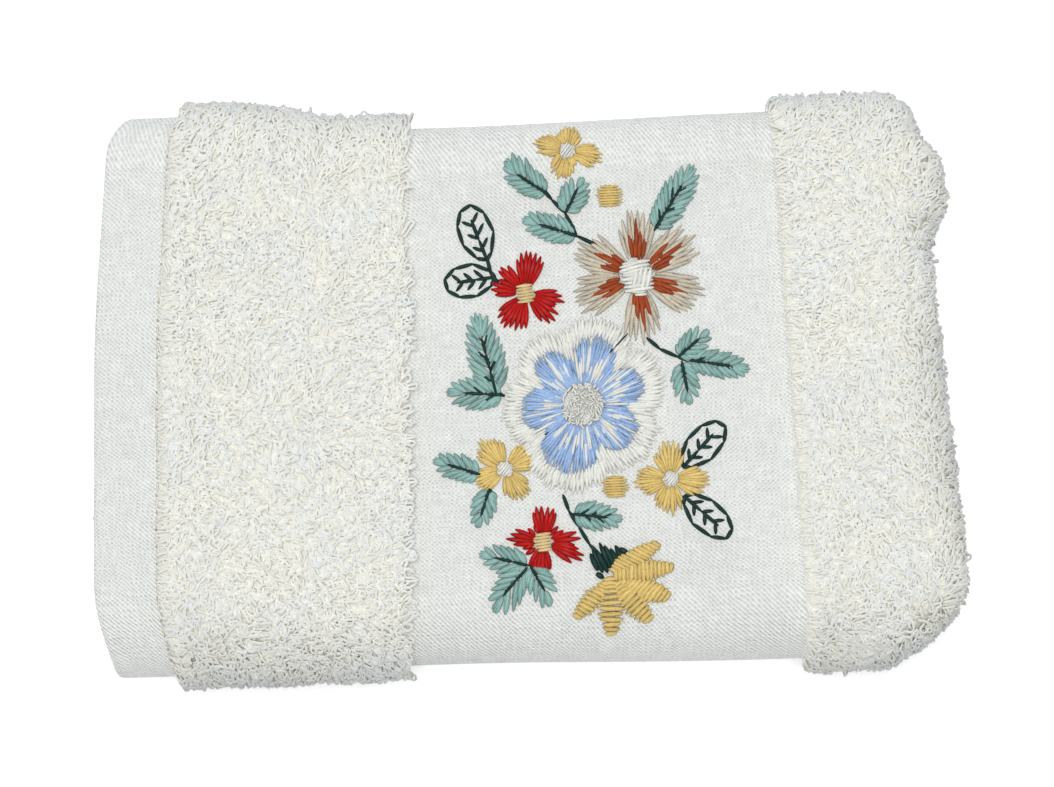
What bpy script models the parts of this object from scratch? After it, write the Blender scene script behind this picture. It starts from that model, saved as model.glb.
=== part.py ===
"""A white terry hand towel with a flat woven band, folded to a bundle.

The towel is folded in quarters along its length, with the embroidered end on top and its hem
at -X, and then in thirds across its width, with the middle third on top. It lies on the
surface at z = 0. Units are metres, +Z is up, +X is the photo's right and +Y the photo's top.
The cloth is one closed solid, 12 layers deep, which reaches as far as its loops do.
"""
import math

import bmesh
import bpy
from mathutils import Vector

MM = 0.001

# The cloth
CLOTH = 2.4 * MM             # one pressed layer, ground and loops together
LOOP_REACH = 3.0 * MM        # how far the free loops stand above the flat band
LAYER_PITCH = 2.9 * MM       # from layer to layer in the quarter fold
PACKET_PITCH = 11.9 * MM     # from four layers to the next four in the fold in thirds
HALF_CLOTH = 0.5 * CLOTH

# Widths along the show face, from the hem at -X to the fold at +X
HEM_WIDTH = 14.3 * MM
BANK = 2.0 * MM              # the slope from flat cloth up to the loops
LEFT_TERRY = 51.4 * MM
FLAT_BAND = 84.0 * MM
RIGHT_TERRY = 25.2 * MM
SHOW_RUN = HEM_WIDTH + LEFT_TERRY + FLAT_BAND + RIGHT_TERRY + 3.0 * BANK
SET_BACK = 4.0 * MM          # how far the hidden layers end behind the hem
HIDDEN_RUN = SHOW_RUN - SET_BACK

# Runs of the fold in thirds
TOP_THIRD = 93.0 * MM
TUCKED_THIRD = TOP_THIRD + 2.5 * MM
BOTTOM_THIRD = TOP_THIRD + 10.0 * MM

# The towel's length, from the embroidered end. A bend of 0 is a straight run.
LENGTH_FOLDS = (
    # part of the length, bend in degrees, run or radius, steps, loops standing at its start
    ("hem", 0, HEM_WIDTH, 1, 0.0),
    ("hem bank", 0, BANK, 1, 0.0),
    ("left terry", 0, LEFT_TERRY, 2, 1.0),
    ("left bank", 0, BANK, 1, 1.0),
    ("flat band", 0, FLAT_BAND, 3, 0.0),
    ("right bank", 0, BANK, 1, 0.0),
    ("right terry", 0, RIGHT_TERRY, 2, 1.0),
    ("outer turn, upper half", -90, 1.5 * LAYER_PITCH, 4, 1.0),
    ("outer turn, lower half", -90, 1.5 * LAYER_PITCH, 4, 1.0),
    ("lowest layer", 0, HIDDEN_RUN, 7, 0.0),
    ("end turn", -180, 0.5 * LAYER_PITCH, 5, 0.0),
    ("third layer", 0, HIDDEN_RUN, 7, 0.0),
    ("inner turn", 180, 0.5 * LAYER_PITCH, 5, 0.0),
    ("second layer", 0, HIDDEN_RUN, 7, 0.0),
)

# The towel's width, from the edge tucked inside.
WIDTH_FOLDS = (
    # part of the width, bend in degrees, run or radius, steps, loops free at its start
    ("tucked third", 0, TUCKED_THIRD, 9, 0.0),
    ("back turn, lower half", 90, 0.5 * PACKET_PITCH, 4, 0.0),
    ("back turn, upper half", 90, 0.5 * PACKET_PITCH, 4, 1.0),
    ("top third", 0, TOP_THIRD, 9, 1.0),
    ("front turn, upper half", 90, PACKET_PITCH, 5, 1.0),
    ("front turn, lower half", 90, PACKET_PITCH, 5, 1.0),
    ("bottom third", 0, BOTTOM_THIRD, 9, 0.0),
)

# Where the bundle is uneven
SKEW = 0.034                 # the right side lies this much further back, per metre of x
RIGHT_SPREAD = 0.018         # the share by which the bundle is wider across at the right
FOLD_SLANT = -0.120          # the fold at +X leans out towards the front
FOLD_BULGE = 4.8 * MM        # how far that fold stands out near the back
FRONT_ROUNDING = 16.0 * MM   # how far the front right corner is drawn in
BACK_LEFT_SPREAD = 4.2 * MM  # how far the back left corner stands out
HEM_BACK_DRAW = 3.0 * MM     # how far the hem draws in towards the back
HEM_CORNER_DRAW = 7.0 * MM   # how much more it does in the back corner itself
HEM_FRONT_DRAW = 4.2 * MM    # and where it wraps down at the front
HEM_DROP = 0.12              # the hem end is this share thinner than the middle
SWELLS = (
    # share of the height, waves per metre along x, along y, phase in radians
    (0.012, 9.0, 3.0, 0.6),
    (0.010, -4.0, 8.0, 2.1),
    (0.008, 11.0, -6.0, 4.0),
)


def rise(value, start, end):
    """Rise softly from 0 to 1 as value goes from start to end."""
    share = min(max((value - start) / (end - start), 0.0), 1.0)
    return share * share * (3.0 - 2.0 * share)


def walk(folds, start, heading):
    """Stations along a folded line: place, left-hand normal and loops, one for each step."""
    stations = []
    place = Vector(start)
    angle = heading
    ends = [row[4] for row in folds[1:]] + [folds[-1][4]]
    for (name, bend, size, steps, loops), next_loops in zip(folds, ends):
        left = Vector((-math.sin(angle), math.cos(angle)))
        ahead = Vector((math.cos(angle), math.sin(angle)))
        side = math.copysign(1.0, bend)
        for step in range(steps + 1):
            share = step / steps
            turned = math.radians(bend) * share
            if bend:
                spot = place + side * size * left
                normal = Vector((-math.sin(angle + turned), math.cos(angle + turned)))
                spot = spot - side * size * normal
            else:
                spot = place + size * share * ahead
                normal = left
            if step < steps or folds[-1][0] == name:
                stations.append((spot, normal, loops + (next_loops - loops) * share))
        place = spot
        angle += turned
    return stations


def swell(x, y):
    """The share by which the bundle is thicker or thinner at a place."""
    share = sum(height * math.sin(math.tau * (along_x * x + along_y * y) + phase)
                for height, along_x, along_y, phase in SWELLS)
    return share - HEM_DROP * rise(-x, 62.0 * MM, 98.0 * MM)


def settle(place):
    """Move a point of the evenly folded bundle to where the uneven one has it."""
    x, y, z = place
    front = rise(-y, 42.0 * MM, 66.0 * MM)
    front_corner = rise(-y, 46.0 * MM, 68.0 * MM)
    back = rise(y, 5.0 * MM, 61.0 * MM)
    back_corner = rise(y, 50.0 * MM, 66.0 * MM)
    slant = rise(x, 20.0 * MM, 95.0 * MM) * FOLD_SLANT * y
    bulge = FOLD_BULGE * (rise(y, 26.0 * MM, 37.0 * MM) - rise(y, 43.5 * MM, 50.0 * MM))
    fold_draw = FRONT_ROUNDING * front_corner - bulge
    hem_draw = HEM_BACK_DRAW * back + HEM_CORNER_DRAW * back_corner + HEM_FRONT_DRAW * front
    back_left = rise(-x, 34.0 * MM, 64.0 * MM) * rise(y, 0.0, 58.0 * MM)
    spread = RIGHT_SPREAD * rise(x, -10.0 * MM, 55.0 * MM)
    return Vector((
        x + slant - rise(x, 60.0 * MM, 95.0 * MM) * fold_draw
        + rise(-x, 55.0 * MM, 84.0 * MM) * hem_draw,
        y * (1.0 + spread) + SKEW * x + BACK_LEFT_SPREAD * back_left,
        z * (1.0 + swell(x, y)),
    ))


def flat_slab(length_steps, width_steps):
    """A flat closed slab with its face up: one unit a step along +x, and across along -y."""
    slab = bmesh.new()
    bmesh.ops.create_grid(slab, x_segments=length_steps, y_segments=width_steps, size=0.5)
    for vert in slab.verts:
        vert.co.x = round((vert.co.x + 0.5) * length_steps)
        vert.co.y = round((vert.co.y - 0.5) * width_steps)
    raised = bmesh.ops.extrude_face_region(slab, geom=slab.faces[:], use_keep_orig=True)
    for item in raised["geom"]:
        if isinstance(item, bmesh.types.BMVert):
            item.co.z = 1.0
    bmesh.ops.recalc_face_normals(slab, faces=slab.faces[:])
    return slab


def folded_towel():
    """Fold the slab along its length and across its width, and settle it."""
    half_length = 0.5 * SHOW_RUN
    half_width = 0.5 * TOP_THIRD
    lowest = 1.5 * LAYER_PITCH + HALF_CLOTH
    along = walk(LENGTH_FOLDS, (-half_length, 1.5 * LAYER_PITCH), 0.0)
    across_start = (half_width - TUCKED_THIRD, lowest + PACKET_PITCH)
    across = walk(WIDTH_FOLDS, across_start, 0.0)
    slab = flat_slab(len(along) - 1, len(across) - 1)
    for vert in slab.verts:
        spot, normal, standing = along[int(vert.co.x)]
        line, line_normal, free = across[int(-vert.co.y)]
        face_up = vert.co.z > 0.5
        if face_up:
            spot = spot + (HALF_CLOTH + LOOP_REACH * standing * free) * normal
        else:
            spot = spot - HALF_CLOTH * normal
        outward = -line_normal
        line = line + spot.y * outward
        vert.co = settle((spot.x, line.x, line.y))
    return slab


def stand_on_origin(mesh):
    """Put the middle of the bundle's box over the origin and its underside on z = 0."""
    lows = [min(vert.co[axis] for vert in mesh.verts) for axis in range(3)]
    highs = [max(vert.co[axis] for vert in mesh.verts) for axis in range(3)]
    shift = Vector((-0.5 * (lows[0] + highs[0]), -0.5 * (lows[1] + highs[1]), -lows[2]))
    bmesh.ops.translate(mesh, verts=mesh.verts[:], vec=shift)


def terry_cloth():
    """Undyed white cotton, matt."""
    material = bpy.data.materials.new("white terry")
    material.use_nodes = True
    shader = material.node_tree.nodes["Principled BSDF"]
    shader.inputs["Base Color"].default_value = (0.83, 0.83, 0.79, 1.0)
    shader.inputs["Roughness"].default_value = 0.95
    shader.inputs["Metallic"].default_value = 0.0
    return material


def clear_scene():
    for item in list(bpy.data.objects):
        bpy.data.objects.remove(item, do_unlink=True)


def main():
    clear_scene()
    bundle = folded_towel()
    stand_on_origin(bundle)
    mesh = bpy.data.meshes.new("towel")
    bundle.to_mesh(mesh)
    bundle.free()
    mesh.shade_smooth()
    mesh.materials.append(terry_cloth())
    collection = bpy.data.collections.new("hand towel")
    bpy.context.scene.collection.children.link(collection)
    collection.objects.link(bpy.data.objects.new("towel", mesh))


main()
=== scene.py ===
"""Looks of a folded white hand towel: woven cloth, terry loops, hem stitching and embroidery."""
import math
import random

import bmesh
import bpy
import numpy as np
from mathutils import Matrix, Vector, noise


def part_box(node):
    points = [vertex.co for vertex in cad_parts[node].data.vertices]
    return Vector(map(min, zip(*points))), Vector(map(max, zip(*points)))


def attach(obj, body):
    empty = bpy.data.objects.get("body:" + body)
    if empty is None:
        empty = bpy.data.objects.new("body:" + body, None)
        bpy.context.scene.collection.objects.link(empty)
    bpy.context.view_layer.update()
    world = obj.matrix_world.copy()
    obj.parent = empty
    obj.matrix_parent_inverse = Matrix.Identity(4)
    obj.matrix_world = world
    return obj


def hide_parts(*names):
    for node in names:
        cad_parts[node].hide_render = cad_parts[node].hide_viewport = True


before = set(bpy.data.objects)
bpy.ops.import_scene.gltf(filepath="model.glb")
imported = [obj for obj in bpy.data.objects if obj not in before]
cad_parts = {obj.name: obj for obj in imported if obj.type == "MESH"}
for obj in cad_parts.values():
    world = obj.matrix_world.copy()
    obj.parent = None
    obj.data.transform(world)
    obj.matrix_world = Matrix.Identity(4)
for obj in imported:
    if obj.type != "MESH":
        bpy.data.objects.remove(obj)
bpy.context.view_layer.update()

MM = 0.001

# The cloth as the model has it: the fold's sizes, repeated in the same terms
CLOTH = 2.4 * MM
LOOP_REACH = 3.0 * MM
LAYER_PITCH = 2.9 * MM
PACKET_PITCH = 11.9 * MM
HEM_WIDTH = 14.3 * MM
BANK = 2.0 * MM
LEFT_TERRY = 51.4 * MM
FLAT_BAND = 84.0 * MM
RIGHT_TERRY = 25.2 * MM
SHOW_RUN = HEM_WIDTH + LEFT_TERRY + FLAT_BAND + RIGHT_TERRY + 3.0 * BANK
SET_BACK = 4.0 * MM          # how far the hidden layers end behind the hem
HIDDEN_RUN = SHOW_RUN - SET_BACK
TOP_THIRD = 93.0 * MM
TUCKED_THIRD = TOP_THIRD + 2.5 * MM
BOTTOM_THIRD = TOP_THIRD + 10.0 * MM
SKEW = 0.034
RIGHT_SPREAD = 0.018
FOLD_SLANT = -0.120
FOLD_BULGE = 4.8 * MM
FRONT_ROUNDING = 16.0 * MM
BACK_LEFT_SPREAD = 4.2 * MM
HEM_BACK_DRAW = 3.0 * MM
HEM_CORNER_DRAW = 7.0 * MM
HEM_FRONT_DRAW = 4.2 * MM
HEM_DROP = 0.12
SWELLS = (
    # share of the height, waves per metre along x, along y, phase in radians
    (0.012, 9.0, 3.0, 0.6),
    (0.010, -4.0, 8.0, 2.1),
    (0.008, 11.0, -6.0, 4.0),
)

# The towel's length and width as folds. A bend of 0 is a straight run.
LENGTH_FOLDS = (
    # part of the length, bend in degrees, run or radius, steps
    ("show face", 0, SHOW_RUN, 46),
    ("outer turn", -180, 1.5 * LAYER_PITCH, 12),
    ("lowest layer", 0, HIDDEN_RUN, 16),
    ("end turn", -180, 0.5 * LAYER_PITCH, 8),
    ("third layer", 0, HIDDEN_RUN, 16),
    ("inner turn", 180, 0.5 * LAYER_PITCH, 8),
    ("second layer", 0, HIDDEN_RUN, 16),
)
WIDTH_FOLDS = (
    # part of the width, bend in degrees, run or radius, steps
    ("tucked third", 0, TUCKED_THIRD, 10),
    ("back turn", 180, 0.5 * PACKET_PITCH, 12),
    ("top third", 0, TOP_THIRD, 24),
    ("front turn", 180, PACKET_PITCH, 18),
    ("bottom third", 0, BOTTOM_THIRD, 12),
)

# The ground weave under the loops
GROUND = 1.2 * MM            # woven cloth without its loops
EDGE_BED = 0.7 * MM          # the loops' matted feet over the pressed cloth, at the turns
FACE_BED = 1.4 * MM          # and on top, where the loops lie flat
PILE_TOP = 0.5 * CLOTH + LOOP_REACH
HEM_CLOTH = 2.2 * MM         # the hem, which is turned in once
HEM_LIP = 0.25 * MM          # half the thickness at the hem's very edge
FLOOR_GAP = 0.2 * MM

# The picture's frame in pixels, and the camera above it
PHOTO_WIDTH = 1054.0
PHOTO_HEIGHT = 787.0
ORIGIN_PIXEL = (532.5, 391.5)    # where the model's origin stands in the picture
PIXEL = 0.225 * MM           # the size of a pixel at the height of the bundle's outline
OUTLINE_HEIGHT = 20.0 * MM
CAMERA_HEIGHT = 0.9
CAMERA_X = (PHOTO_WIDTH / 2.0 - ORIGIN_PIXEL[0]) * PIXEL
CAMERA_Y = (ORIGIN_PIXEL[1] - PHOTO_HEIGHT / 2.0) * PIXEL
SENSOR = 36.0                # millimetres


# ---------------------------------------------------------------- the fold

def rise(value, start, end):
    """Rise softly from 0 to 1 as value goes from start to end."""
    share = min(max((value - start) / (end - start), 0.0), 1.0)
    return share * share * (3.0 - 2.0 * share)


def lay_line(folds, start, heading):
    """Each fold of a line with where it starts, which way it heads and how long it is."""
    line = []
    place = Vector(start)
    angle = heading
    reached = 0.0
    for name, bend, size, steps in folds:
        length = size if bend == 0 else math.radians(abs(bend)) * size
        line.append((reached, length, place, angle, bend, size, steps))
        place = spot_in_fold(line[-1], length)[0]
        angle += math.radians(bend)
        reached += length
    return line


def spot_in_fold(fold, distance):
    """Place and left-hand normal at a distance into one fold."""
    reached, length, place, angle, bend, size, steps = fold
    left = Vector((-math.sin(angle), math.cos(angle)))
    if bend == 0:
        return place + distance * Vector((math.cos(angle), math.sin(angle))), left
    side = math.copysign(1.0, bend)
    turned = angle + side * distance / size
    normal = Vector((-math.sin(turned), math.cos(turned)))
    return place + side * size * (left - normal), normal


def spot_on(line, distance):
    """Place and left-hand normal at a distance along the whole line."""
    for fold in line:
        if distance <= fold[0] + fold[1]:
            break
    return spot_in_fold(fold, distance - fold[0])


def line_steps(line):
    """Distances along the line at which the cloth gets its rows of faces."""
    distances = [0.0]
    for reached, length, place, angle, bend, size, steps in line:
        distances += [reached + length * step / steps for step in range(1, steps + 1)]
    return distances


LONG_LINE = lay_line(LENGTH_FOLDS, (-0.5 * SHOW_RUN, 1.5 * LAYER_PITCH), 0.0)
LOWEST_MIDDLE = 1.5 * LAYER_PITCH + 0.5 * CLOTH
CROSS_START = (0.5 * TOP_THIRD - TUCKED_THIRD, LOWEST_MIDDLE + PACKET_PITCH)
CROSS_LINE = lay_line(WIDTH_FOLDS, CROSS_START, 0.0)
CLOTH_LENGTH = LONG_LINE[-1][0] + LONG_LINE[-1][1]
CLOTH_WIDTH = CROSS_LINE[-1][0] + CROSS_LINE[-1][1]
OUTER_TURN, LOWEST_LAYER, END_TURN = (LONG_LINE[index][0] for index in (1, 2, 3))
BACK_TURN, TOP_START, FRONT_TURN, BOTTOM_START = (CROSS_LINE[index][0] for index in (1, 2, 3, 4))
BACK_MIDDLE = 0.5 * (BACK_TURN + TOP_START)
FRONT_MIDDLE = 0.5 * (FRONT_TURN + BOTTOM_START)
TOP_MIDDLE = 0.5 * (TOP_START + FRONT_TURN)
FIRST_TERRY = HEM_WIDTH + BANK
BAND_START = FIRST_TERRY + LEFT_TERRY + BANK
SECOND_TERRY = BAND_START + FLAT_BAND + BANK


def swell(x, y):
    """The share by which the bundle is thicker or thinner at a place."""
    share = sum(height * math.sin(math.tau * (along_x * x + along_y * y) + phase)
                for height, along_x, along_y, phase in SWELLS)
    return share - HEM_DROP * rise(-x, 62.0 * MM, 98.0 * MM)


def settle(x, y, z):
    """Move a point of the evenly folded bundle to where the uneven one has it."""
    front = rise(-y, 42.0 * MM, 66.0 * MM)
    front_corner = rise(-y, 46.0 * MM, 68.0 * MM)
    back = rise(y, 5.0 * MM, 61.0 * MM)
    back_corner = rise(y, 50.0 * MM, 66.0 * MM)
    slant = rise(x, 20.0 * MM, 95.0 * MM) * FOLD_SLANT * y
    bulge = FOLD_BULGE * (rise(y, 26.0 * MM, 37.0 * MM) - rise(y, 43.5 * MM, 50.0 * MM))
    fold_draw = FRONT_ROUNDING * front_corner - bulge
    hem_draw = HEM_BACK_DRAW * back + HEM_CORNER_DRAW * back_corner + HEM_FRONT_DRAW * front
    back_left = rise(-x, 34.0 * MM, 64.0 * MM) * rise(y, 0.0, 58.0 * MM)
    spread = RIGHT_SPREAD * rise(x, -10.0 * MM, 55.0 * MM)
    return Vector((
        x + slant - rise(x, 60.0 * MM, 95.0 * MM) * fold_draw
        + rise(-x, 55.0 * MM, 84.0 * MM) * hem_draw,
        y * (1.0 + spread) + SKEW * x + BACK_LEFT_SPREAD * back_left,
        z * (1.0 + swell(x, y)),
    ))


def fold_point(along, across, height):
    """Where a point of the flat towel lies once it is folded, before it stands on the origin."""
    spot, normal = spot_on(LONG_LINE, along)
    spot = spot + height * normal
    place, left = spot_on(CROSS_LINE, across)
    place = place - spot.y * left
    return settle(spot.x, place.x, place.y)


def standing_shift():
    """How far the folded cloth moves to stand in the model's box."""
    steps = 60
    hem_reach = min(fold_point(0.0, CLOTH_WIDTH * step / steps, 0.5 * CLOTH).x
                    for step in range(steps + 1))
    front_reach = min(fold_point(FIRST_TERRY + LEFT_TERRY * step / steps, FRONT_MIDDLE, PILE_TOP).y
                      for step in range(steps + 1))
    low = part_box("towel")[0]
    return Vector((low.x - hem_reach, low.y - front_reach, 0.0))


SHIFT = standing_shift()


def cloth_point(along, across, height):
    return fold_point(along, across, height) + SHIFT


# ---------------------------------------------------------------- building helpers

def add_piece(name, mesh, materials):
    """A finished piece: an object at the origin that rides on the towel."""
    piece = bpy.data.objects.new(name, mesh)
    bpy.context.scene.collection.objects.link(piece)
    for material in materials:
        mesh.materials.append(material)
    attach(piece, "root")
    return piece


def joined_copies(name, copies):
    """One mesh of many copies. Each copy starts with (triangles, points, tint, UV of each point)."""
    offset = 0
    corner_sets = []
    for copy in copies:
        corner_sets.append(copy[0] + offset)
        offset += len(copy[1])
    points = np.concatenate([copy[1] for copy in copies])
    corners = np.concatenate(corner_sets)
    mesh = bpy.data.meshes.new(name)
    mesh.vertices.add(len(points))
    mesh.vertices.foreach_set("co", points.ravel())
    mesh.loops.add(corners.size)
    mesh.loops.foreach_set("vertex_index", corners.ravel())
    mesh.polygons.add(len(corners))
    mesh.polygons.foreach_set("loop_start", np.arange(0, corners.size, 3))
    tints = np.concatenate([np.full(len(copy[1]), copy[2]) for copy in copies])
    mesh.attributes.new("tint", "FLOAT", "POINT").data.foreach_set("value", tints)
    flat_places = np.concatenate([copy[3] for copy in copies])
    layer = mesh.uv_layers.new(name="strand")
    layer.data.foreach_set("uv", flat_places[corners.ravel()].ravel())
    mesh.update(calc_edges=True)
    mesh.shade_smooth()
    return mesh


def shape_arrays(shape):
    """Points and triangles of a small modelled shape."""
    bmesh.ops.triangulate(shape, faces=shape.faces[:])
    shape.verts.index_update()
    points = np.array([vert.co[:] for vert in shape.verts])
    faces = np.array([[vert.index for vert in face.verts] for face in shape.faces])
    shape.free()
    return points, faces


# ---------------------------------------------------------------- materials

TERRY_WARM = (0.84, 0.825, 0.755, 1.0)
TERRY_COOL = (0.775, 0.80, 0.81, 1.0)
# painted warm shade deep in the pile, at the loops' feet
TERRY_FOOT_SHADE = (0.895, 0.87, 0.79, 1.0)
# the pile ground's creams, mixed at random, are painted warm shade of the gaps between loops
PILE_GAP_SHADE_LIGHT = (0.94, 0.925, 0.865, 1.0)
PILE_GAP_SHADE_DARK = (0.88, 0.86, 0.79, 1.0)
# the weave's colour: painted light on its crests and painted shade in its hollows
WEAVE_CREST_LIT = (1.0, 1.0, 0.96, 1.0)
WEAVE_HOLLOW_SHADE = (0.74, 0.74, 0.71, 1.0)
WARP_PITCH = 0.54 * MM       # from yarn to yarn in the flat weave, along the towel
WEFT_PITCH = 0.45 * MM       # and across it
WEAVE_WANDER = 1.1 * MM      # how far the yarns stray from straight lines
RAKING_LIGHT_FROM = 26.0 * MM   # from the top's middle line, where one diagonal begins to lead, as painted raking light
RAKING_LIGHT_TO = 48.0 * MM     # and where it is strongest
PLIES = 6.0                  # plies round a strand of embroidery thread
PLY_SLANT = 0.3              # plies by which they wind round for each millimetre of strand


def shader_of(material):
    return material.node_tree.nodes["Principled BSDF"]


def node_adder(material):
    """A short way to add a node. Its inputs go by name or, as i0 and i1, by number."""
    tree = material.node_tree

    def add(kind, settings=None, **inputs):
        node = tree.nodes.new("ShaderNode" + kind)
        for key, value in (settings or {}).items():
            setattr(node, key, value)
        for key, value in inputs.items():
            numbered = key[0] == "i" and key[1:].isdigit()
            socket = node.inputs[int(key[1:]) if numbered else key]
            if isinstance(value, bpy.types.NodeSocket):
                tree.links.new(value, socket)
            else:
                socket.default_value = value
        return node

    return add


def maths(add, operation, first, second=0.0, third=0.0):
    """One math node's result."""
    node = add("Math", {"operation": operation}, i0=first, i1=second, i2=third)
    return node.outputs[0]


def wave(add, turns):
    """A wave with one crest for every two yarns."""
    return maths(add, "COSINE", maths(add, "MULTIPLY", turns, math.pi))


def cotton(name, roughness, sheen):
    """A matt cotton to which a pattern is then added."""
    material = bpy.data.materials.new(name)
    material.use_nodes = True
    shader = shader_of(material)
    shader.inputs["Roughness"].default_value = roughness
    shader.inputs["Metallic"].default_value = 0.0
    shader.inputs["Specular IOR Level"].default_value = 0.2
    shader.inputs["Sheen Weight"].default_value = sheen
    shader.inputs["Sheen Roughness"].default_value = 0.5
    return material


def colour_mix(add, share, first, second):
    """A colour that goes from the first to the second as share goes from 0 to 1."""
    return add("Mix", {"data_type": "RGBA"}, Factor=share, i6=first, i7=second).outputs[2]


def dressed(material, add, colour, height, strength, distance):
    """The material with its colour and a bump of the given height."""
    links = material.node_tree.links
    shader = shader_of(material)
    links.new(colour, shader.inputs["Base Color"])
    bump = add("Bump", Strength=strength, Distance=distance, Height=height)
    links.new(bump.outputs[0], shader.inputs["Normal"])
    return material


def pile_ground():
    """The matted feet of the loops, seen in the gaps between them, in creams that are painted warm shade
    of those gaps.
    """
    material = cotton("pile ground", 0.95, 0.1)
    add = node_adder(material)
    place = add("TexCoord").outputs["Object"]
    tufts = add("TexNoise", Vector=place, Scale=1100.0, Detail=3.0, Roughness=0.6).outputs["Fac"]
    # painted warm shade of the gaps, mixed at random in tufts
    colour = colour_mix(add, tufts, PILE_GAP_SHADE_DARK, PILE_GAP_SHADE_LIGHT)
    return dressed(material, add, colour, tufts, 0.8, 0.8 * MM)


def terry_yarn():
    """Undyed looped yarn: warm and cool whites, from loop to loop and from patch to patch, and a warmer
    cream towards each loop's foot that is painted warm shade deep in the pile.
    """
    material = cotton("terry yarn", 0.95, 0.1)
    add = node_adder(material)
    place = add("TexCoord").outputs["Object"]
    patches = add("TexNoise", Vector=place, Scale=90.0, Detail=2.0, Roughness=0.5).outputs["Fac"]
    tint = add("Attribute", {"attribute_name": "tint"}).outputs["Fac"]
    blend = maths(add, "MULTIPLY_ADD", patches, 1.6, -0.3)
    blend = maths(add, "MULTIPLY_ADD", tint, 0.5, maths(add, "SUBTRACT", blend, 0.25))
    patch_colour = colour_mix(add, blend, TERRY_WARM, TERRY_COOL)
    strand = add("SeparateXYZ", Vector=add("UVMap", {"uv_map": "strand"}).outputs[0])
    # how far up the loop; towards the foot the colour turns to the painted warm shade
    raised = maths(add, "POWER", maths(add, "MAXIMUM", strand.outputs[1], 0.0), 1.3)
    colour = colour_mix(add, raised, TERRY_FOOT_SHADE, patch_colour)
    fuzz = add("TexNoise", Vector=place, Scale=2600.0, Detail=2.0).outputs["Fac"]
    return dressed(material, add, colour, fuzz, 0.35, 0.12 * MM)


def plain_weave():
    """The flat woven ground: painted light on the yarns' crests and painted shade in the hollows between
    them. Either diagonal may show more on top, and one leads at the turns, as painted raking light.
    """
    material = cotton("plain weave", 0.9, 0.1)
    add = node_adder(material)
    flat = add("UVMap", {"uv_map": "cloth"}).outputs[0]
    wander = add("TexNoise", {"noise_dimensions": "2D"}, Vector=flat, Scale=160.0, Detail=2.0)
    shifted = add("VectorMath", {"operation": "MULTIPLY_ADD"}, i0=wander.outputs["Color"],
                  i1=(WEAVE_WANDER, WEAVE_WANDER, 0.0), i2=flat)
    split = add("SeparateXYZ", Vector=shifted.outputs[0])
    along = maths(add, "DIVIDE", split.outputs[0], WARP_PITCH)
    across = maths(add, "DIVIDE", split.outputs[1], WEFT_PITCH)
    falling = wave(add, maths(add, "SUBTRACT", along, across))
    rising = wave(add, maths(add, "ADD", along, across))
    drift = add("TexNoise", {"noise_dimensions": "2D"}, Vector=flat, Scale=38.0, Detail=1.0)
    flat_place = add("SeparateXYZ", Vector=flat)
    # towards the turns one diagonal leads more: painted raking light, in the colour and in the bump
    from_middle = maths(add, "ABSOLUTE", maths(add, "SUBTRACT", flat_place.outputs[1], TOP_MIDDLE))
    towards_turns = add("MapRange", {"interpolation_type": "SMOOTHSTEP"}, Value=from_middle)
    towards_turns.inputs["From Min"].default_value = RAKING_LIGHT_FROM
    towards_turns.inputs["From Max"].default_value = RAKING_LIGHT_TO
    growth = maths(add, "MULTIPLY_ADD", towards_turns.outputs[0], 0.45, -0.95)
    lead = maths(add, "MULTIPLY_ADD", drift.outputs["Fac"], 2.0, growth)
    strong = maths(add, "MULTIPLY", falling, maths(add, "ADD", 1.0, lead))
    weak = maths(add, "MULTIPLY", rising, maths(add, "SUBTRACT", 1.0, lead))
    height = maths(add, "MULTIPLY_ADD", maths(add, "SUBTRACT", strong, weak), 0.21, 0.5)
    yarns = add("CombineXYZ", X=along, Y=across)
    for thick in ((1.0, 0.1, 0.0), (0.1, 1.0, 0.0)):
        stretched = add("VectorMath", {"operation": "MULTIPLY"}, i0=yarns.outputs[0], i1=thick)
        slub = add("TexNoise", {"noise_dimensions": "2D"}, Vector=stretched.outputs[0], Scale=1.0,
                   Detail=1.0)
        uneven = maths(add, "SUBTRACT", slub.outputs["Fac"], 0.5)
        height = maths(add, "MULTIPLY_ADD", uneven, 0.7, height)
    # painted light on the crests and painted shade in the hollows
    colour = colour_mix(add, height, WEAVE_HOLLOW_SHADE, WEAVE_CREST_LIT)
    return dressed(material, add, colour, height, 0.9, 0.3 * MM)


def linear(colour):
    """A colour out of 255 as the shader counts it."""
    steps = [value / 255.0 for value in colour]
    return tuple(value / 12.92 if value <= 0.04045 else ((value + 0.055) / 1.055) ** 2.4
                 for value in steps)


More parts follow.
